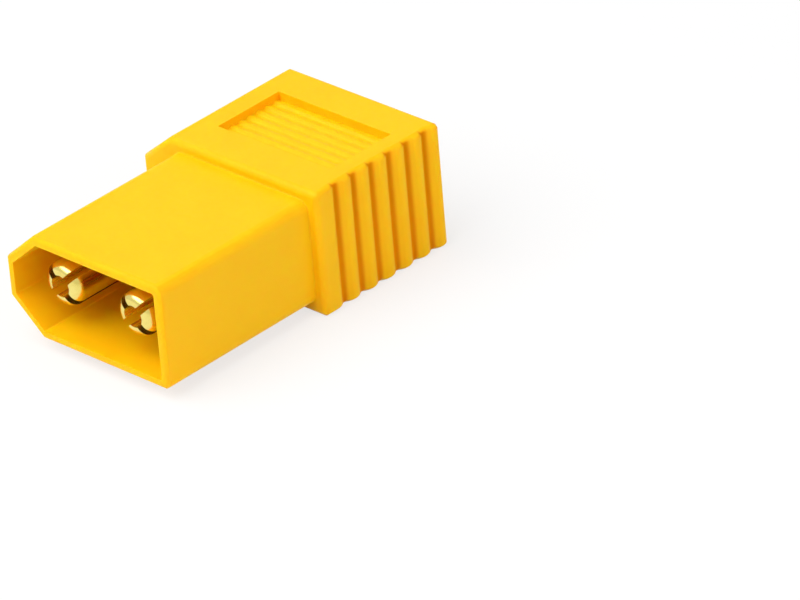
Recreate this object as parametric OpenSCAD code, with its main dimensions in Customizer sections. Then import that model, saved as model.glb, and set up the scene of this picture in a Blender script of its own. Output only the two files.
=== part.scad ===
// Battery connector adapter in one moulded housing. A keyed shroud at one end holds two slotted
// bullet contacts, and a receptacle at the other end has a pin in a square and in a D-shaped socket.
// Millimetres, +Z up. The part rests on the underside of its block. Y runs along it, from the mouth
// of the shroud to the socket face, and left and right are as seen looking into the shroud.

/* [Shroud] */
// Outer width of the shroud
shroud_w = 15.6; // [14:0.1:16.4]
// Outer height of the shroud
shroud_h = 8.35; // [7.6:0.05:9.2]
// Length of the shroud in front of the block
shroud_len = 14.85; // [12:0.05:18]
// Wall thickness of the shroud
shroud_wall = 0.7; // [0.5:0.05:1]
// Width of the two keying chamfers on the left of the shroud
shroud_chamfer_w = 3; // [2.4:0.05:3.4]
// Height of the two keying chamfers on the left of the shroud
shroud_chamfer_h = 2.6; // [2:0.05:3]
// Radius along the outer long edges of the shroud
shroud_edge_r = 0.8; // [0.4:0.05:1]
// Radius along the inner long edges of the shroud
shroud_inner_r = 0.2; // [0.1:0.05:0.4]
// Radius around the outer edge of the shroud's mouth
mouth_r = 0.4; // [0.1:0.05:0.5]

/* [Block] */
// Width of the block across its ribs
block_w = 17.45; // [16.8:0.05:20]
// Height of the block
block_h = 10.05; // [9.6:0.05:12]
// Length of the block
block_len = 12.9; // [12.4:0.1:15]
// Width of the two chamfers on the left of the block
block_chamfer_w = 2.95; // [2.2:0.05:3.2]
// Height of the two chamfers on the left of the block
block_chamfer_h = 2.4; // [1.8:0.05:2.8]
// Radius on the outer edges of the block
block_edge_r = 0.5; // [0.3:0.05:0.6]

/* [Grip grooves] */
// Number of grooves between the ribs on each side of the block
groove_count = 6; // [3:1:6]
// Distance from one groove to the next
groove_pitch = 1.84; // [1.7:0.01:1.9]
// Distance of the first groove on the right from the front of the block
groove_start = 2.3; // [1.4:0.05:2.4]
// Width of a groove between the tops of its two ribs
groove_w = 1.8; // [1.5:0.01:1.84]
// Depth of a groove
groove_depth = 0.6; // [0.4:0.01:0.7]
// Radius in the bottom of a groove
groove_r = 0.1; // [0.06:0.01:0.15]

/* [Label recess] */
// Width of the bare label recess on the top of the block
recess_w = 11; // [8:0.1:12]
// Length of the label recess
recess_len = 6.3; // [4:0.1:8]
// Depth of the label recess
recess_depth = 0.7; // [0.4:0.05:1]
// Number of fine ridges across the floor of the recess
ridge_count = 7; // [4:1:9]
// Height of the fine ridges
ridge_h = 0.14; // [0.1:0.01:0.3]
// Width of the fine ridges
ridge_w = 0.66; // [0.5:0.01:0.7]

/* [Sockets] */
// Width of each socket
socket_w = 5.5; // [5:0.05:6]
// Height of each socket
socket_h = 5.55; // [5:0.05:6]
// Depth of the sockets
socket_depth = 11.5; // [9:0.1:12]
// Thickness of the web between the two sockets
socket_web = 0.8; // [0.6:0.05:1.2]
// Radius in the corners of the square socket
socket_corner_r = 0.25; // [0.1:0.05:0.5]
// Thickness of the floor that holds the contacts, between the sockets and the shroud's cavity
floor_t = 2.3; // [1.8:0.1:4]

/* [Latch notch] */
// Width of the latch notch under the socket face
notch_w = 4.1; // [3:0.1:5]
// Height of the latch notch
notch_h = 1.55; // [1:0.05:1.7]
// Length of the latch notch along the block
notch_len = 6; // [3:0.1:8]

/* [Bullet contacts] */
// Distance between the two bullets
bullet_pitch = 7.2; // [6.6:0.05:7.6]
// Outer diameter of a bullet
bullet_d = 3.5; // [3.2:0.05:3.7]
// Distance of the bullets' tips behind the mouth of the shroud
bullet_setback = 1.1; // [0.4:0.05:2]
// Radius on the rim of a bullet's nose
bullet_nose_r = 0.8; // [0.4:0.05:0.85]
// Diameter of the bore down a bullet's middle
bullet_bore_d = 1.7; // [1.5:0.05:1.8]
// Depth of the bore down a bullet's middle
bullet_bore_depth = 7.5; // [6:0.1:11]
// Width of the crossed slots that split a bullet into four petals
bullet_slot_w = 0.6; // [0.4:0.05:0.7]
// Length of the crossed slots
bullet_slot_len = 7; // [5:0.1:9]
// Diameter of the collar that seats on the floor of the shroud
collar_d = 4.5; // [4.2:0.05:5]
// Thickness of the collar
collar_t = 0.8; // [0.5:0.05:1.2]
// Diameter of the barrel that is pressed through the floor
barrel_d = 4.1; // [3.8:0.05:4.2]

/* [Socket pins] */
// Diameter of a socket pin
pin_d = 1.9; // [1.7:0.05:2.2]
// Distance of the pins' tips behind the socket face
pin_setback = 1.15; // [0.5:0.05:2]
// Diameter of the flat on a pin's tip
pin_tip_d = 1.2; // [0.8:0.05:1.5]
// Length of the cone behind the tip
pin_cone_len = 0.35; // [0.2:0.05:0.8]
// Diameter of the thinner tail that is pressed into the barrel
pin_tail_d = 1.5; // [1.3:0.05:1.6]
// Length of the tail
pin_tail_len = 2.8; // [2:0.1:3.2]
// Gap between the end of the tail and the bottom of its hole
tail_gap = 0.1; // [0.05:0.01:0.3]
// Gap around each round piece that is pressed in
fit_gap = 0.02; // [0.01:0.005:0.05]

/* [Hidden] */
$fn = 72;
// A little more than nothing, by which a cut passes through the face that it starts from
past = 0.5;
total_len = shroud_len + block_len;
mouth_y = -total_len / 2;
block_y = mouth_y + shroud_len;
face_y = total_len / 2;
socket_floor_y = face_y - socket_depth;
cavity_floor_y = socket_floor_y - floor_t;
mid_z = block_h / 2;
socket_pitch = socket_w + socket_web;
// How far a socket pin stands to the side of its bullet's axis
pole_offset = (bullet_pitch - socket_pitch) / 2;
bullet_len = cavity_floor_y - mouth_y - bullet_setback;
pin_len = socket_depth - pin_setback;
flat_top_x = block_chamfer_w / 2;
ridge_pitch = recess_len / ridge_count;
ridge_r = (pow(ridge_w / 2, 2) + pow(ridge_h, 2)) / (2 * ridge_h);

nylon_colour = "#FFD028";
contact_colour = "#E3C25A";

function unit(v) = v / norm(v);

// Half of the angle at corner p between its neighbours a and b
function half_angle(a, p, b) = acos(unit(a - p) * unit(b - p)) / 2;

// Middle of the arc that rounds corner p
function arc_centre(a, p, b, r) = p + unit(unit(a - p) + unit(b - p)) * r / sin(half_angle(a, p, b));

// The two points where the arc that rounds corner p leaves its sides
function arc_ends(a, p, b, r) = [
    p + unit(a - p) * r / tan(half_angle(a, p, b)),
    p + unit(b - p) * r / tan(half_angle(a, p, b))
];

// A convex outline with every corner rounded by true arcs
module rounded_outline(corners, r) {
    last = len(corners) - 1;
    before = function (i) corners[i == 0 ? last : i - 1];
    after = function (i) corners[i == last ? 0 : i + 1];
    polygon([for (i = [0:last]) each arc_ends(before(i), corners[i], after(i), r)]);
    for (i = [0:last])
        translate(arc_centre(before(i), corners[i], after(i), r))
            circle(r);
}

module rounded_rectangle(w, h, r) {
    rounded_outline([[-w, -h] / 2, [w, -h] / 2, [w, h] / 2, [-w, h] / 2], r);
}

// The keyed section across the part: a rectangle with two chamfered corners on its left
module keyed_outline(w, h, chamfer_w, chamfer_h, r) {
    right = w / 2;
    top = h / 2;
    shoulder_x = chamfer_w - right;
    shoulder_z = top - chamfer_h;
    rounded_outline([
        [right, -top], [right, top], [shoulder_x, top],
        [-right, shoulder_z], [-right, -shoulder_z], [shoulder_x, -top]
    ], r);
}

// Extrudes a section in X and Z along Y, centred at the height of the contacts
module along_y(from_y, to_y) {
    translate([0, to_y, mid_z])
        rotate([90, 0, 0])
            linear_extrude(to_y - from_y)
                children();
}

// One groove as a cut into a face at X = 0 that looks along +X, drawn square to a face that leans up. The
// arc of its bottom runs over into the arcs of its two ribs
module groove_cut(lean) {
    half_w = groove_w / 2;
    depth = groove_depth * cos(lean);
    slope = 2 * atan(depth / half_w);
    bottom_r = groove_r / cos(lean);
    rib_r = half_w / sin(slope) - bottom_r;
    meet_x = bottom_r * (1 - cos(slope)) - depth;
    meet_y = bottom_r * sin(slope);
    difference() {
        union() {
            polygon([
                [past, -half_w], [0, -half_w], [meet_x, -meet_y],
                [meet_x, meet_y], [0, half_w], [past, half_w]
            ]);
            translate([bottom_r - depth, 0])
                circle(bottom_r);
        }
        for (side = [-1, 1])
            translate([-rib_r, side * half_w])
                circle(rib_r);
    }
}

// The grooves along the right of the block, counted from the middle of its length
module groove_row(lean) {
    for (i = [0:groove_count - 1])
        translate([0, groove_start + i * groove_pitch - block_len / 2])
            groove_cut(lean);
}

// The block seen from above, centred on Y = 0. The grooves on its left are those on its right, turned
// half round
module block_plan() {
    difference() {
        rounded_rectangle(block_w, block_len, block_edge_r);
        for (side = [0, 180])
            rotate(side)
                translate([block_w / 2, 0])
                    groove_row(0);
    }
}

// A bar across the part that leans up from +X. Its end is a reach away from the middle of the section and
// rounded along the part, and the children are cut into it
module leaning_bar(lean, reach, from_y, to_y, r) {
    span = 2 * (block_w + block_h);
    translate([0, (from_y + to_y) / 2, mid_z])
        rotate([0, -lean, 0])
            translate([reach - span / 2, 0, -span / 2])
                linear_extrude(span)
                    difference() {
                        rounded_rectangle(span, to_y - from_y, r);
                        translate([span / 2, 0])
                            children();
                    }
}

// How far the middle of a rounded right edge is from the middle of the section
function edge_reach(w, h, r) = ((w + h) / 2 - 2 * r) / sqrt(2) + r;

// A keyed section along Y with rounded ends, cut to a plan that is centred on Y = 0
module keyed_body(w, h, chamfer_w, chamfer_h, edge_r, end_r, from_y, to_y) {
    chamfer_lean = 90 + atan2(chamfer_h, chamfer_w);
    chamfer_reach = (chamfer_h * (w / 2 - chamfer_w) + chamfer_w * h / 2) / norm([chamfer_w, chamfer_h]);
    intersection() {
        along_y(from_y, to_y)
            keyed_outline(w, h, chamfer_w, chamfer_h, edge_r);
        translate([0, (from_y + to_y) / 2, -past])
            linear_extrude(block_h + 2 * past)
                children();
        leaning_bar(90, h / 2, from_y, to_y, end_r);
        leaning_bar(-90, h / 2, from_y, to_y, end_r);
        leaning_bar(chamfer_lean, chamfer_reach, from_y, to_y, end_r);
        leaning_bar(-chamfer_lean, chamfer_reach, from_y, to_y, end_r);
    }
}

// The ribbed block. Its two right edges follow the grooves
module block() {
    reach = edge_reach(block_w, block_h, block_edge_r);
    intersection() {
        keyed_body(block_w, block_h, block_chamfer_w, block_chamfer_h, block_edge_r, block_edge_r,
            block_y, face_y)
            block_plan();
        leaning_bar(45, reach, block_y, face_y, block_edge_r)
            groove_row(45);
        leaning_bar(-45, reach, block_y, face_y, block_edge_r)
            groove_row(45);
    }
}

module shroud() {
    root_y = block_y + block_edge_r + 2 * past;
    reach = edge_reach(shroud_w, shroud_h, shroud_edge_r);
    intersection() {
        keyed_body(shroud_w, shroud_h, shroud_chamfer_w, shroud_chamfer_h, shroud_edge_r, mouth_r,
            mouth_y, root_y)
            rounded_rectangle(shroud_w, root_y - mouth_y, mouth_r);
        leaning_bar(45, reach, mouth_y, root_y, mouth_r);
        leaning_bar(-45, reach, mouth_y, root_y, mouth_r);
    }
}

// The space inside the shroud, one wall thickness inside its outline all round
module shroud_cavity() {
    slope = shroud_chamfer_h / shroud_chamfer_w;
    inner_chamfer_h = shroud_chamfer_h - shroud_wall * (1 + slope - norm([1, slope]));
    along_y(mouth_y - past, cavity_floor_y)
        keyed_outline(shroud_w - 2 * shroud_wall, shroud_h - 2 * shroud_wall,
            inner_chamfer_h / slope, inner_chamfer_h, shroud_inner_r);
}

module square_socket() {
    along_y(socket_floor_y, face_y + past)
        translate([socket_pitch / 2, 0])
            rounded_rectangle(socket_w, socket_h, socket_corner_r);
}

// Flat below and half round above
module d_socket() {
    along_y(socket_floor_y, face_y + past)
        translate([-socket_pitch / 2, (socket_h - socket_w) / 2]) {
            circle(d = socket_w);
            translate([-socket_w / 2, socket_w / 2 - socket_h])
                square([socket_w, socket_h - socket_w / 2]);
        }
}

// The bore in the floor that a bullet's barrel is pressed through
module barrel_bore(side) {
    translate([side * bullet_pitch / 2, socket_floor_y + past, mid_z])
        rotate([90, 0, 0])
            cylinder(h = floor_t + 2 * past, d = barrel_d + 2 * fit_gap);
}

module label_recess() {
    translate([flat_top_x - recess_w / 2, block_y + (block_len - recess_len) / 2, block_h - recess_depth])
        cube([recess_w, recess_len, recess_depth + past]);
}

// Fine ridges along X on the floor of the label recess
module label_ridges() {
    first_y = block_y + (block_len - recess_len + ridge_pitch) / 2;
    centre_z = block_h - recess_depth + ridge_h - ridge_r;
    for (i = [0:ridge_count - 1])
        translate([flat_top_x - recess_w / 2 - ridge_h, first_y + i * ridge_pitch, centre_z])
            rotate([0, 90, 0])
                cylinder(h = recess_w + 2 * ridge_h, r = ridge_r);
}

module latch_notch() {
    translate([-notch_w / 2, face_y - notch_len, -past])
        cube([notch_w, notch_len + past, notch_h + past]);
}

module housing() {
    color(nylon_colour) {
        difference() {
            union() {
                block();
                shroud();
            }
            shroud_cavity();
            square_socket();
            d_socket();
            barrel_bore(-1);
            barrel_bore(1);
            label_recess();
            latch_notch();
        }
        label_ridges();
    }
}

// A bullet's nose along +Z, hollow inside, with a rounded rim
module bullet_nose() {
    r = bullet_d / 2;
    difference() {
        rotate_extrude() {
            square([r, bullet_len - bullet_nose_r]);
            square([r - bullet_nose_r, bullet_len]);
            translate([r - bullet_nose_r, bullet_len - bullet_nose_r])
                intersection() {
                    circle(bullet_nose_r);
                    square(bullet_nose_r);
                }
        }
        translate([0, 0, bullet_len - bullet_bore_depth])
            cylinder(h = bullet_bore_depth + past, d = bullet_bore_d);
        for (turn = [45, 135])
            rotate(turn)
                translate([-bullet_d, -bullet_slot_w / 2, bullet_len - bullet_slot_len])
                    cube([2 * bullet_d, bullet_slot_w, bullet_slot_len + past]);
    }
}

// A turned bullet contact: nose and collar in the shroud, and a barrel through the floor whose
// end has an off-centre hole for the socket pin
module bullet(side) {
    translate([side * bullet_pitch / 2, cavity_floor_y, mid_z])
        rotate([90, 0, 0])
            difference() {
                union() {
                    bullet_nose();
                    cylinder(h = collar_t, d = collar_d);
                    translate([0, 0, -floor_t])
                        cylinder(h = floor_t + collar_t / 2, d = barrel_d);
                }
                translate([-side * pole_offset, 0, -floor_t - past])
                    cylinder(h = pin_tail_len + tail_gap + past, d = pin_tail_d + 2 * fit_gap);
            }
}

// A turned socket pin whose shoulder stands on the end of the barrel
module socket_pin(side) {
    shank_len = pin_len - pin_cone_len;
    translate([side * socket_pitch / 2, socket_floor_y, mid_z])
        rotate([-90, 0, 0])
            rotate_extrude()
                polygon([
                    [0, -pin_tail_len], [pin_tail_d / 2, -pin_tail_len], [pin_tail_d / 2, 0],
                    [pin_d / 2, 0], [pin_d / 2, shank_len], [pin_tip_d / 2, pin_len], [0, pin_len]
                ]);
}

module bullet_left() {
    color(contact_colour) bullet(-1);
}

module bullet_right() {
    color(contact_colour) bullet(1);
}

module socket_pin_left() {
    color(contact_colour) socket_pin(-1);
}

module socket_pin_right() {
    color(contact_colour) socket_pin(1);
}

housing();
bullet_left();
bullet_right();
socket_pin_left();
socket_pin_right();
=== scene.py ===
"""Looks of a battery connector adapter: a nylon housing with two split bullets and two socket pins."""

import logging
import math
from dataclasses import dataclass
from enum import Enum
from typing import Any

import bmesh
import bpy
from bmesh.types import BMEdge, BMesh
from bpy.types import Material, Node, NodeSocket, NodeTree, Object
from mathutils import Matrix, Vector

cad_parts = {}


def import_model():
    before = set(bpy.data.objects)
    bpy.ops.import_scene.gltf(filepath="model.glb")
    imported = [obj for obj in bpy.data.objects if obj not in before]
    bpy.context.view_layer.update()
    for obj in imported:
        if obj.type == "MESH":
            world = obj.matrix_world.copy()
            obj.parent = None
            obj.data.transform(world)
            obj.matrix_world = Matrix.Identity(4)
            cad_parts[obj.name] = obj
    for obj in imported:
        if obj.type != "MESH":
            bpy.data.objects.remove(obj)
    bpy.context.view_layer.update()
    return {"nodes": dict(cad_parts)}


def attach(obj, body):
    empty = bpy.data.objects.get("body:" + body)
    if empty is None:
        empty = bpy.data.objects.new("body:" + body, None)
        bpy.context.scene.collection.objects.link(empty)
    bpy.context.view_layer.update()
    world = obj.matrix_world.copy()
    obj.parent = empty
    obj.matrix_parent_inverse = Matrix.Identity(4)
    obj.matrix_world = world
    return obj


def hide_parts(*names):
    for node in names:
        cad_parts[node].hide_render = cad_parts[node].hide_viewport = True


LOG = logging.getLogger("adapter")
MM = 0.001
SHARP_DEG = 38.0
WHITE = (1.0, 1.0, 1.0, 1.0)
Colour = tuple[float, float, float, float]


class Pole(Enum):
    """One of the two contacts, as seen looking into the shroud."""

    LEFT = -1
    RIGHT = 1

    def named(self, piece: str) -> str:
        """Gives the name of a piece on this side."""
        return f"{piece}_{self.name.lower()}"


class Heading(Enum):
    """The way that a turned piece's nose points, as its turn about X in degrees."""

    TO_MOUTH = 90.0
    TO_SOCKET_FACE = -90.0


class Board:
    """Adds nodes to one shader tree and joins them."""

    NOISE_DARK = 0.3
    NOISE_BRIGHT = 0.7

    def __init__(self, tree: NodeTree) -> None:
        """Takes over a tree and empties it."""
        self.tree = tree
        tree.nodes.clear()

    def add(self, kind: str, values: dict[str, Any] | None = None, **settings: Any) -> Node:
        """Adds a node.

        Args:
            kind: Blender's name of the node type.
            values: Input name to a plain value, or to the output socket that drives it.
            settings: Properties of the node itself.

        Returns:
            The new node.
        """
        node = self.tree.nodes.new(kind)
        for name, value in settings.items():
            setattr(node, name, value)
        for name, value in (values or {}).items():
            if isinstance(value, NodeSocket):
                self.tree.links.new(value, node.inputs[name])
            else:
                node.inputs[name].default_value = value
        return node

    def noise(self, at: NodeSocket, scale: float, detail: float) -> NodeSocket:
        """Adds a noise texture.

        Args:
            at: The coordinates that it reads.
            scale: Features to a metre.
            detail: Octaves of finer noise on top.

        Returns:
            The noise value, about 0.5 on average.
        """
        node = self.add("ShaderNodeTexNoise", {"Vector": at, "Scale": scale, "Detail": detail})
        return node.outputs["Fac"]

    def spread(self, value: NodeSocket, low: float, high: float) -> NodeSocket:
        """Spreads the middle of a noise value over a range.

        Args:
            value: The noise value.
            low: What a dark patch becomes.
            high: What a bright patch becomes.

        Returns:
            The value in its new range.
        """
        node = self.add("ShaderNodeMapRange", {
            "Value": value, "From Min": self.NOISE_DARK, "From Max": self.NOISE_BRIGHT,
            "To Min": low, "To Max": high})
        return node.outputs["Result"]

    def math(self, operation: str, *terms: NodeSocket | float) -> NodeSocket:
        """Adds one step of arithmetic.

        Args:
            operation: Blender's name of the operation.
            terms: Sockets or plain numbers.

        Returns:
            The result.
        """
        node = self.add("ShaderNodeMath", operation=operation)
        for place, term in zip(node.inputs, terms):
            if isinstance(term, NodeSocket):
                self.tree.links.new(term, place)
            else:
                place.default_value = term
        return node.outputs["Value"]

    def rise(self, value: NodeSocket, low: float, high: float) -> NodeSocket:
        """Turns a value into a smooth rise.

        Args:
            value: The value.
            low: Where the rise starts from 0.
            high: Where it reaches 1.

        Returns:
            The rise, 0 to 1.
        """
        node = self.add("ShaderNodeMapRange", {"Value": value, "From Min": low, "From Max": high},
                        interpolation_type="SMOOTHSTEP")
        return node.outputs["Result"]

    def blend(self, factor: NodeSocket, first: Colour | NodeSocket, second: Colour) -> NodeSocket:
        """Blends two colours.

        Args:
            factor: 0 for the first colour, 1 for the second.
            first: Linear colour with alpha, or the socket that gives one.
            second: Linear colour with alpha.

        Returns:
            The blended colour.
        """
        node = self.add("ShaderNodeMix", data_type="RGBA")
        self.tree.links.new(factor, node.inputs["Factor"])
        colours = [socket for socket in node.inputs if socket.type == "RGBA"]
        if isinstance(first, NodeSocket):
            self.tree.links.new(first, colours[0])
        else:
            colours[0].default_value = first
        colours[1].default_value = second
        return next(socket for socket in node.outputs if socket.type == "RGBA")


def started(name: str) -> tuple[Material, Board, NodeSocket]:
    """Starts a material.

    Args:
        name: The material's name.

    Returns:
        The material, the board with its nodes and the object's own coordinates.
    """
    made = bpy.data.materials.new(name)
    made.use_nodes = True
    board = Board(made.node_tree)
    return made, board, board.add("ShaderNodeTexCoord").outputs["Object"]


@dataclass(frozen=True)
class GripGrooves:
    """The row of grooves on a grip side. The left row is the right one, turned about the block's middle."""

    block_y: float = 7.425 * MM
    first: float = -4.15 * MM
    count: int = 6
    pitch: float = 1.84 * MM
    half: float = 0.9 * MM
    depth: float = 0.6 * MM
    bottom_r: float = 0.1 * MM
    wave_depth: float = 0.34 * MM

    def away(self, at: Vector) -> float:
        """Measures along the part to the middle of the nearest groove.

        Args:
            at: A point on a grip side.

        Returns:
            How far off that middle is.
        """
        along = math.copysign(1.0, at.x) * (at.y - self.block_y) - self.first
        number = min(max(round(along / self.pitch), 0), self.count - 1)
        return abs(along - number * self.pitch)

    def easing(self, away: float) -> float:
        """Gives how far a groove's wall moves in when its scallop becomes a soft wave.

        Args:
            away: Distance from the middle of the groove.

        Returns:
            The wave's depth less the scallop's.
        """
        slope = 2.0 * math.atan(self.depth / self.half)
        rib_r = self.half / math.sin(slope) - self.bottom_r
        if away < self.bottom_r * math.sin(slope):
            scallop = self.depth - self.bottom_r + math.sqrt(self.bottom_r ** 2 - away ** 2)
        else:
            scallop = rib_r - math.sqrt(rib_r ** 2 - (self.half - away) ** 2)
        swell = 0.5 + 0.5 * math.cos(math.pi * away / self.half)
        return self.wave_depth * swell - scallop


@dataclass(frozen=True)
class MouldedNylon:
    """Satin yellow nylon with a fine grain, a faint cloudiness and painted shade: a deeper orange in the
    bottoms of its grooves.
    """

    name: str = "moulded_nylon"
    pale: Colour = (0.99, 0.540, 0.003, 1.0)
    deep: Colour = (0.98, 0.515, 0.002, 1.0)
    # Painted shade in the grip grooves: its deeper orange, and below, the reach and shift of the band that
    # it paints.
    groove_painted_shade: Colour = (0.77, 0.230, 0.001, 1.0)
    grooves: GripGrooves = GripGrooves()
    valley_from: float = -0.35
    valley_shift: float = 0.15 * MM
    grip_from: float = 8.2 * MM
    grip_full: float = 8.4 * MM
    sheen: float = 0.12
    cloud_scale: float = 260.0
    cloud_detail: float = 3.0
    grain_scale: float = 7500.0
    grain_detail: float = 2.5
    gloss_scale: float = 2500.0
    gloss_detail: float = 2.0
    smooth: float = 0.40
    rough: float = 0.50
    grain_depth: float = 0.016 * MM
    grain_strength: float = 0.35
    ior: float = 1.5
    glow: float = 0.7
    glow_reach: tuple[float, float, float] = (1.4, 0.2, 0.02)
    glow_scale: float = 0.45 * MM

    def groove_shade(self, board: Board, at: NodeSocket) -> NodeSocket:
        """Masks the painted shade in the bottoms of the grooves on the two grip sides, shifted a little onto
        one flank.

        Args:
            board: The material's nodes.
            at: The object's coordinates.

        Returns:
            0 in the open, 1 where the painted shade is full, near the bottom of a groove.
        """
        row = self.grooves
        spot = board.add("ShaderNodeSeparateXYZ", {"Vector": at}).outputs
        ahead = board.math("SUBTRACT", spot["Y"], row.block_y)
        from_middle = board.math("MULTIPLY", board.math("SIGN", spot["X"]), ahead)
        along = board.math("SUBTRACT", from_middle, row.first)
        turn = math.tau / row.pitch
        # The painted shade peaks a little off each groove's middle, on one flank.
        swell = board.math("COSINE", board.math("MULTIPLY_ADD", along, turn, turn * self.valley_shift))
        off_middle = board.math("ABSOLUTE", board.math("SUBTRACT", along, row.pitch * (row.count - 1) / 2))
        in_row = board.math("LESS_THAN", off_middle, row.pitch * row.count / 2)
        on_grip = board.rise(board.math("ABSOLUTE", spot["X"]), self.grip_from, self.grip_full)
        valley = board.rise(swell, self.valley_from, 1.0)
        return board.math("MULTIPLY", board.math("MULTIPLY", valley, in_row), on_grip)

    def material(self) -> Material:
        """Builds the material.

        Returns:
            The material.
        """
        made, board, at = started(self.name)
        clouds = board.spread(board.noise(at, self.cloud_scale, self.cloud_detail), 0.0, 1.0)
        grain = board.noise(at, self.grain_scale, self.grain_detail)
        gloss = board.noise(at, self.gloss_scale, self.gloss_detail)
        shade = self.groove_shade(board, at)
        bump = board.add("ShaderNodeBump", {
            "Strength": self.grain_strength, "Distance": self.grain_depth, "Height": grain})
        # The base colour takes the painted groove shade, and the specular is turned down under it.
        shader = board.add("ShaderNodeBsdfPrincipled", {
            "Base Color": board.blend(shade, board.blend(clouds, self.pale, self.deep), self.groove_painted_shade),
            "Roughness": board.spread(gloss, self.smooth, self.rough),
            "Normal": bump.outputs["Normal"],
            "IOR": self.ior,
            "Specular IOR Level": board.math("MULTIPLY_ADD", shade, -self.sheen, self.sheen),
            "Subsurface Weight": self.glow,
            "Subsurface Radius": self.glow_reach,
            "Subsurface Scale": self.glow_scale,
        })
        board.add("ShaderNodeOutputMaterial", {"Surface": shader.outputs["BSDF"]})
        return made


@dataclass(frozen=True)
class GoldPlate:
    """Polished gold plate over turned brass, with the faint rings that the tool left."""

    name: str = "gold_plate"
    bright: Colour = (0.92, 0.78, 0.24, 1.0)
    worn: Colour = (0.82, 0.66, 0.16, 1.0)
    patch_scale: float = 900.0
    ring_scale: float = 14000.0
    ring_stretch: tuple[float, float, float] = (0.02, 1.0, 0.02)
    detail: float = 2.0
    smooth: float = 0.15
    rough: float = 0.25
    ring_depth: float = 0.004 * MM
    ring_strength: float = 0.18

    def material(self) -> Material:
        """Builds the material.

        Returns:
            The material.
        """
        made, board, at = started(self.name)
        along = board.add("ShaderNodeMapping", {"Vector": at, "Scale": self.ring_stretch})
        patches = board.noise(at, self.patch_scale, self.detail)
        rings = board.noise(along.outputs["Vector"], self.ring_scale, self.detail)
        bump = board.add("ShaderNodeBump", {
            "Strength": self.ring_strength, "Distance": self.ring_depth, "Height": rings})
        shader = board.add("ShaderNodeBsdfPrincipled", {
            "Base Color": board.blend(board.spread(patches, 0.0, 1.0), self.bright, self.worn),
            "Metallic": 1.0,
            "Roughness": board.spread(patches, self.smooth, self.rough),
            "Normal": bump.outputs["Normal"],
        })
        board.add("ShaderNodeOutputMaterial", {"Surface": shader.outputs["BSDF"]})
        return made


@dataclass(frozen=True)
class WhiteSweep:
    """The studio's white floor, which shows as white and keeps a soft shadow."""

    name: str = "white_sweep"
    paper: Colour = (0.86, 0.86, 0.86, 1.0)
    lift: float = 0.72
    fibre_scale: float = 900.0
    fibre_detail: float = 4.0
    smooth: float = 0.82
    rough: float = 0.9

    def material(self) -> Material:
        """Builds the material.

        Returns:
            The material.
        """
        made, board, at = started(self.name)
        fibre = board.noise(at, self.fibre_scale, self.fibre_detail)
        gloss = board.spread(fibre, self.smooth, self.rough)
        paper = board.add("ShaderNodeBsdfPrincipled", {"Base Color": self.paper, "Roughness": gloss})
        glow = board.add("ShaderNodeEmission", {"Color": WHITE, "Strength": 1.0})
        path = board.add("ShaderNodeLightPath").outputs
        seen = board.math("MAXIMUM", path["Is Camera Ray"], path["Is Glossy Ray"])
        through = board.math("MAXIMUM", seen, path["Is Transmission Ray"])
        both = board.add("ShaderNodeMixShader", {"Fac": board.math("MULTIPLY", through, self.lift)})
        board.tree.links.new(paper.outputs["BSDF"], both.inputs[1])
        board.tree.links.new(glow.outputs["Emission"], both.inputs[2])
        board.add("ShaderNodeOutputMaterial", {"Surface": both.outputs["Shader"]})
        return made


def placed(name: str, shape: BMesh) -> Object:
    """Makes an object of a finished shape and shades it smooth up to its sharp edges.

    Args:
        name: The piece's name.
        shape: The bmesh, in metres and in place. It is freed.

    Returns:
        The new object, at the origin.
    """
    mesh = bpy.data.meshes.new(name)
    shape.to_mesh(mesh)
    shape.free()
    mesh.shade_smooth()
    mesh.set_sharp_from_angle(angle=math.radians(SHARP_DEG))
    piece = bpy.data.objects.new(name, mesh)
    bpy.context.scene.collection.objects.link(piece)
    even = piece.modifiers.new("even_shading", "WEIGHTED_NORMAL")
    even.keep_sharp = True
    return piece


def hand_over(piece: Object, node: str, finish: Material) -> None:
    """Dresses a piece and lets it stand for its CAD node.

    Args:
        piece: The new object.
        node: The CAD node that it replaces.
        finish: The material.
    """
    piece.data.materials.clear()
    piece.data.materials.append(finish)
    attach(piece, "root")
    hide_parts(node)
    LOG.info("%s: %d faces, in %s", piece.name, len(piece.data.polygons), finish.name)


def soften(shape: BMesh, edges: list[BMEdge], radius: float, segments: int) -> None:
    """Rounds a set of edges.

    Args:
        shape: The bmesh that they belong to.
        edges: The edges to round.
        radius: The radius, in the mesh's own units.
        segments: Faces across the rounding.
    """
    bmesh.ops.bevel(shape, geom=edges, offset=radius, offset_type="OFFSET", affect="EDGES",
                    segments=segments, profile=0.5, clamp_overlap=True, material=-1)


def close(shape: BMesh) -> None:
    """Closes every hole in a shape with one face."""
    rims = [edge for edge in shape.edges if edge.is_boundary]
    bmesh.ops.holes_fill(shape, edges=rims, sides=0)


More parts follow.
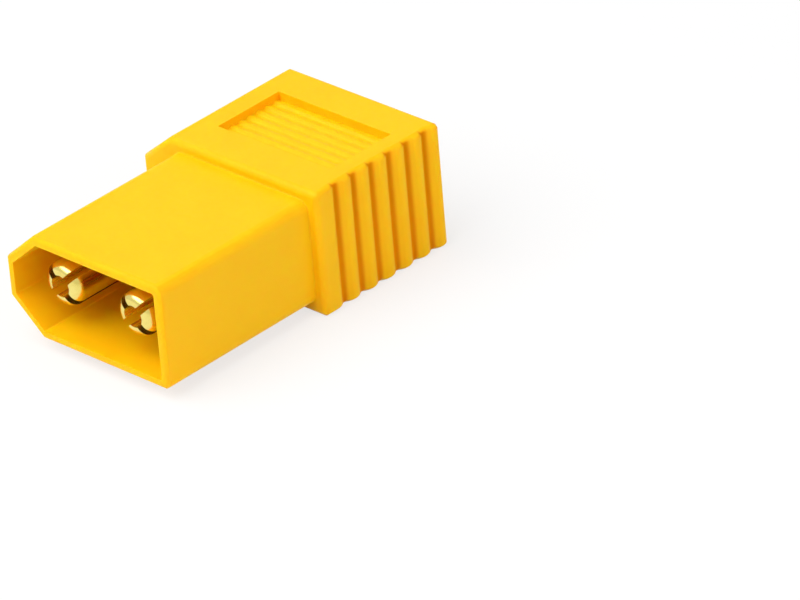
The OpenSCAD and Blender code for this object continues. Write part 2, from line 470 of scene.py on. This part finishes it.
@dataclass
class Housing:
    """The one-piece moulded housing, with soft grip grooves and the fine radii that a mould leaves."""

    node: str = "housing"
    merge: float = 0.004 * MM
    flat_deg: float = 0.4
    crisp_deg: float = 55.0
    edge_r: float = 0.07 * MM
    edge_steps: int = 2
    step_y: float = 0.975 * MM
    fillet_r: float = 0.3 * MM
    fillet_steps: int = 4
    grip_x: float = 7.6 * MM
    middle_z: float = 5.025 * MM
    key_slope: float = 1.21
    grooves: GripGrooves = GripGrooves()

    def ease_grooves(self, shape: BMesh) -> None:
        """Eases the grooves on both grip sides into soft waves of the same pitch.

        Args:
            shape: The merged housing.
        """
        moved = 0
        for vert in shape.verts:
            away = self.grooves.away(vert.co)
            if abs(vert.co.x) < self.grip_x or away >= self.grooves.half:
                continue
            side = math.copysign(1.0, vert.co.x)
            inward = self.grooves.easing(away)
            vert.co.x -= side * inward
            # On the left the walls end on the key's slopes, so their corners slide along them.
            if side < 0.0:
                vert.co.z += math.copysign(self.key_slope, vert.co.z - self.middle_z) * inward
            moved += 1
        LOG.info("grooves: %d corners eased", moved)

    def build(self, solid: Object) -> Object:
        """Copies the CAD solid, eases its grooves, fills the corner of its step and rounds its crisp edges.

        Args:
            solid: The CAD node's object.

        Returns:
            The finished piece.
        """
        shape = bmesh.new()
        shape.from_mesh(solid.data)
        bmesh.ops.remove_doubles(shape, verts=shape.verts, dist=self.merge)
        bmesh.ops.dissolve_limit(shape, angle_limit=math.radians(self.flat_deg),
                                 verts=shape.verts, edges=shape.edges)
        self.ease_grooves(shape)
        crisp = math.radians(self.crisp_deg)
        corner = [edge for edge in shape.edges
                  if edge.is_manifold and edge.calc_face_angle_signed() < -crisp
                  and all(abs(vert.co.y - self.step_y) < self.merge for vert in edge.verts)]
        run = sum(edge.calc_length() for edge in corner)
        LOG.info("step: %d edges, %.2f mm long", len(corner), run / MM)
        soften(shape, corner, self.fillet_r, self.fillet_steps)
        outer = [edge for edge in shape.edges
                 if edge.is_manifold and edge.calc_face_angle_signed() > crisp]
        soften(shape, outer, self.edge_r, self.edge_steps)
        return placed("moulded_housing", shape)

    def dress(self, piece: Object, finish: Material) -> None:
        """Gives the housing its nylon."""
        hand_over(piece, self.node, finish)


@dataclass
class Turned:
    """What the two kinds of turned contact share: a pole and how they are made. Sizes are in millimetres."""

    pole: Pole
    steps: int = 96
    axis_z: float = 5.025
    weld: float = 0.0005
    near: float = 0.001

    def spun(self, profile: list[tuple[float, float]]) -> BMesh:
        """Turns a profile about +Z.

        Args:
            profile: Radius and height of each corner, in millimetres.

        Returns:
            The turned shape, closed wherever the profile ends on the axis.
        """
        shape = bmesh.new()
        points = [shape.verts.new((radius, 0.0, height)) for radius, height in profile]
        sides = [shape.edges.new(pair) for pair in zip(points, points[1:])]
        bmesh.ops.spin(shape, geom=points + sides, cent=(0, 0, 0), axis=(0, 0, 1), dvec=(0, 0, 0),
                       angle=math.tau, steps=self.steps, use_merge=True, use_duplicate=False)
        bmesh.ops.remove_doubles(shape, verts=shape.verts, dist=self.weld)
        bmesh.ops.recalc_face_normals(shape, faces=shape.faces)
        return shape

    def ring(self, shape: BMesh, radius: float, height: float) -> list[BMEdge]:
        """Finds the edges of one ring of a turned shape.

        Args:
            shape: The turned shape.
            radius: The ring's radius.
            height: The ring's height.

        Returns:
            Its edges.
        """
        def on_ring(at: Vector) -> bool:
            """Tells whether a point lies on the ring."""
            return abs(at.xy.length - radius) < self.near and abs(at.z - height) < self.near

        return [edge for edge in shape.edges if all(on_ring(vert.co) for vert in edge.verts)]

    def set_in(self, shape: BMesh, pitch: float, seat_y: float, heading: Heading) -> None:
        """Turns a shape to point along the part, moves it to its pole and brings it to metres.

        Args:
            shape: The shape along +Z, in millimetres.
            pitch: Distance between the two poles.
            seat_y: Where the shape's zero height lies along the part.
            heading: The way that its nose points.
        """
        place = Matrix.Translation((self.pole.value * pitch / 2, seat_y, self.axis_z))
        turn = Matrix.Rotation(math.radians(heading.value), 4, "X")
        bmesh.ops.transform(shape, matrix=Matrix.Scale(MM, 4) @ place @ turn, verts=shape.verts)


@dataclass
class Bullet(Turned):
    """A split bullet: four petals on a turned stem, a collar on the floor and a barrel through it."""

    pitch: float = 7.2
    seat_y: float = 0.075
    length: float = 12.85
    diameter: float = 3.5
    nose_r: float = 0.8
    nose_steps: int = 9
    bore_d: float = 1.7
    bore_depth: float = 7.5
    slot_w: float = 0.6
    slot_len: float = 7.0
    petal_count: int = 4
    cut_slack: float = 1e-5
    collar_d: float = 4.5
    collar_t: float = 0.8
    collar_r: float = 0.1
    collar_steps: int = 3
    barrel_d: float = 4.1
    barrel_len: float = 2.3
    hole_d: float = 1.54
    hole_depth: float = 2.9
    hole_offset: float = 0.45
    crisp_deg: float = 40.0
    burr_r: float = 0.04
    burr_steps: int = 2

    def petals(self) -> BMesh:
        """Cuts one petal out of a turned tube and repeats it around the axis.

        Returns:
            The four petals, each a closed shape.
        """
        foot = self.length - self.slot_len
        outer, inner = self.diameter / 2, self.bore_d / 2
        shape = self.spun([
            (inner, foot), (outer, foot), (outer, self.length), (inner, self.length), (inner, foot)])
        soften(shape, self.ring(shape, outer, self.length), self.nose_r, self.nose_steps)
        half_petal = 180.0 / self.petal_count
        for side in (half_petal, -half_petal):
            away = Matrix.Rotation(math.radians(side), 3, "Z") @ Vector((0, math.copysign(1.0, side), 0))
            tube = shape.verts[:] + shape.edges[:] + shape.faces[:]
            bmesh.ops.bisect_plane(shape, geom=tube, dist=self.cut_slack,
                                   plane_co=away * (-self.slot_w / 2), plane_no=away, clear_outer=True)
            close(shape)
        crisp = [edge for edge in shape.edges
                 if edge.is_manifold and edge.calc_face_angle() > math.radians(self.crisp_deg)
                 and max(vert.co.z for vert in edge.verts) > foot + self.near]
        soften(shape, crisp, self.burr_r, self.burr_steps)
        one = shape.verts[:] + shape.edges[:] + shape.faces[:]
        others = self.petal_count - 1
        bmesh.ops.spin(shape, geom=one, cent=(0, 0, 0), axis=(0, 0, 1), dvec=(0, 0, 0),
                       angle=math.radians(2.0 * half_petal * others), steps=others,
                       use_merge=False, use_duplicate=True)
        bmesh.ops.recalc_face_normals(shape, faces=shape.faces)
        return shape

    def stem(self) -> BMesh:
        """Turns the stem with its collar and barrel, and sinks the pin's off-centre hole into its end.

        Returns:
            The stem, a closed shape.
        """
        foot = self.length - self.slot_len
        outer, inner = self.diameter / 2, self.bore_d / 2
        collar, barrel = self.collar_d / 2, self.barrel_d / 2
        shape = self.spun([
            (0.0, self.length - self.bore_depth), (inner, self.length - self.bore_depth), (inner, foot),
            (outer, foot), (outer, self.collar_t), (collar, self.collar_t), (collar, 0.0), (barrel, 0.0),
            (barrel, -self.barrel_len)])
        # Half a step of turn keeps the stem's corners clear of the petals' corners.
        half_step = Matrix.Rotation(math.pi / self.steps, 3, "Z")
        bmesh.ops.rotate(shape, verts=shape.verts, cent=(0, 0, 0), matrix=half_step)
        end = self.ring(shape, barrel, -self.barrel_len)
        centre = Matrix.Translation((-self.pole.value * self.hole_offset, 0, -self.barrel_len))
        made = bmesh.ops.create_circle(shape, cap_ends=False, radius=self.hole_d / 2, segments=self.steps,
                                       matrix=centre)
        rim = list({edge for vert in made["verts"] for edge in vert.link_edges})
        bmesh.ops.bridge_loops(shape, edges=end + rim)
        wall = bmesh.ops.extrude_edge_only(shape, edges=rim)["geom"]
        bottom = [item for item in wall if isinstance(item, bmesh.types.BMVert)]
        bmesh.ops.translate(shape, verts=bottom, vec=(0, 0, self.hole_depth))
        close(shape)
        soften(shape, self.ring(shape, collar, self.collar_t), self.collar_r, self.collar_steps)
        bmesh.ops.recalc_face_normals(shape, faces=shape.faces)
        return shape

    def build(self) -> Object:
        """Builds the bullet from its stem and petals.

        Returns:
            The finished piece.
        """
        whole = bmesh.new()
        for part in (self.stem(), self.petals()):
            carrier = bpy.data.meshes.new("part")
            part.to_mesh(carrier)
            part.free()
            whole.from_mesh(carrier)
            bpy.data.meshes.remove(carrier)
        self.set_in(whole, self.pitch, self.seat_y, Heading.TO_MOUTH)
        return placed(self.pole.named("split_bullet"), whole)

    def dress(self, piece: Object, finish: Material) -> None:
        """Gives the bullet its gold."""
        hand_over(piece, self.pole.named("bullet"), finish)


@dataclass
class SocketPin(Turned):
    """A turned pin with a coned tip, a shoulder on the barrel's end and a thinner tail in its hole."""

    pitch: float = 6.3
    seat_y: float = 2.375
    length: float = 10.35
    diameter: float = 1.9
    tip_d: float = 1.2
    cone_len: float = 0.35
    tail_d: float = 1.5
    tail_len: float = 2.8
    tip_r: float = 0.06
    tip_steps: int = 3

    def build(self) -> Object:
        """Turns the pin and rounds the edges of its tip.

        Returns:
            The finished piece.
        """
        shank = self.length - self.cone_len
        outer, tip, tail = self.diameter / 2, self.tip_d / 2, self.tail_d / 2
        shape = self.spun([
            (0.0, -self.tail_len), (tail, -self.tail_len), (tail, 0.0), (outer, 0.0), (outer, shank),
            (tip, self.length), (0.0, self.length)])
        edges = self.ring(shape, tip, self.length) + self.ring(shape, outer, shank)
        soften(shape, edges, self.tip_r, self.tip_steps)
        self.set_in(shape, self.pitch, self.seat_y, Heading.TO_SOCKET_FACE)
        return placed(self.pole.named("turned_pin"), shape)

    def dress(self, piece: Object, finish: Material) -> None:
        """Gives the pin its gold."""
        hand_over(piece, self.pole.named("socket_pin"), finish)


@dataclass
class SoftLight:
    """One soft studio lamp, aimed at the middle of the part."""

    name: str
    place: tuple[float, float, float]
    size: float
    power: float

    def build(self, target: Vector) -> None:
        """Hangs the lamp.

        Args:
            target: The point that it lights.
        """
        lamp = bpy.data.lights.new(self.name, "AREA")
        lamp.shape = "DISK"
        lamp.size = self.size
        lamp.energy = self.power
        holder = bpy.data.objects.new(self.name, lamp)
        bpy.context.scene.collection.objects.link(holder)
        holder.location = self.place
        holder.rotation_euler = (target - Vector(self.place)).to_track_quat("-Z", "Y").to_euler()


@dataclass
class Studio:
    """The floor, the lamps, the surroundings and the camera."""

    floor_size: float = 3.0
    floor_drop: float = 0.02 * MM
    world_strength: float = 0.4
    world_in_gloss: float = 0.65
    camera_place: tuple[float, float, float] = (0.327183, -0.306492, 0.255900)
    camera_right: tuple[float, float, float] = (0.731054, 0.678216, -0.074721)
    camera_down: tuple[float, float, float] = (0.292892, -0.410832, -0.863383)
    lens: float = 325.30
    sensor: float = 36.0
    far: float = 10.0
    lamp_target: tuple[float, float, float] = (0.0, 0.0, 0.005)

    def floor(self) -> None:
        """Lays the white floor just under the part."""
        shape = bmesh.new()
        bmesh.ops.create_grid(shape, x_segments=1, y_segments=1, size=self.floor_size / 2,
                              matrix=Matrix.Translation((0.0, 0.0, -self.floor_drop)))
        sweep = placed("floor", shape)
        sweep.data.materials.append(WhiteSweep().material())

    def lamps(self) -> None:
        """Hangs the soft lamps."""
        middle = Vector(self.lamp_target)
        SoftLight("key", place=(-0.12, -0.28, 0.47), size=0.70, power=3.8).build(middle)
        SoftLight("right_fill", place=(0.50, 0.07, 0.25), size=0.40, power=0.77).build(middle)

    def surroundings(self) -> None:
        """Fills the room with an even pale light that shows as white, and a little darker in a gloss."""
        world = bpy.data.worlds.new("studio_room")
        world.use_nodes = True
        bpy.context.scene.world = world
        board = Board(world.node_tree)
        path = board.add("ShaderNodeLightPath").outputs
        mirrored = board.math("MULTIPLY", path["Is Glossy Ray"], self.world_in_gloss)
        seen = board.math("MAXIMUM", path["Is Camera Ray"], mirrored)
        through = board.math("MAXIMUM", seen, path["Is Transmission Ray"])
        strength = board.add("ShaderNodeMapRange", {
            "Value": through, "To Min": self.world_strength, "To Max": 1.0})
        room = board.add("ShaderNodeBackground", {
            "Color": WHITE, "Strength": strength.outputs["Result"]})
        board.add("ShaderNodeOutputWorld", {"Surface": room.outputs["Background"]})

    def camera(self) -> None:
        """Sets up the long lens at the photograph's viewing angle."""
        lens = bpy.data.cameras.new("camera")
        lens.lens = self.lens
        lens.sensor_width = self.sensor
        lens.sensor_fit = "HORIZONTAL"
        lens.clip_end = self.far
        holder = bpy.data.objects.new("camera", lens)
        bpy.context.scene.collection.objects.link(holder)
        right, up = Vector(self.camera_right), -Vector(self.camera_down)
        axes = Matrix((right, up, right.cross(up))).transposed()
        holder.matrix_world = Matrix.Translation(self.camera_place) @ axes.to_4x4()
        bpy.context.scene.camera = holder

    def build(self) -> None:
        """Builds the whole studio."""
        self.floor()
        self.lamps()
        self.surroundings()
        self.camera()
        bpy.context.scene.view_settings.view_transform = "Standard"


def main() -> None:
    """Builds the adapter's pieces in order and lights them."""
    logging.basicConfig(level=logging.INFO, format="%(name)s: %(message)s")
    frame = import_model()
    nylon, gold = MouldedNylon().material(), GoldPlate().material()
    housing = Housing()
    housing.dress(housing.build(frame["nodes"][housing.node]), nylon)
    for pole in Pole:
        for contact in (Bullet(pole), SocketPin(pole)):
            contact.dress(contact.build(), gold)
    Studio().build()


if __name__ == "__main__":
    main()
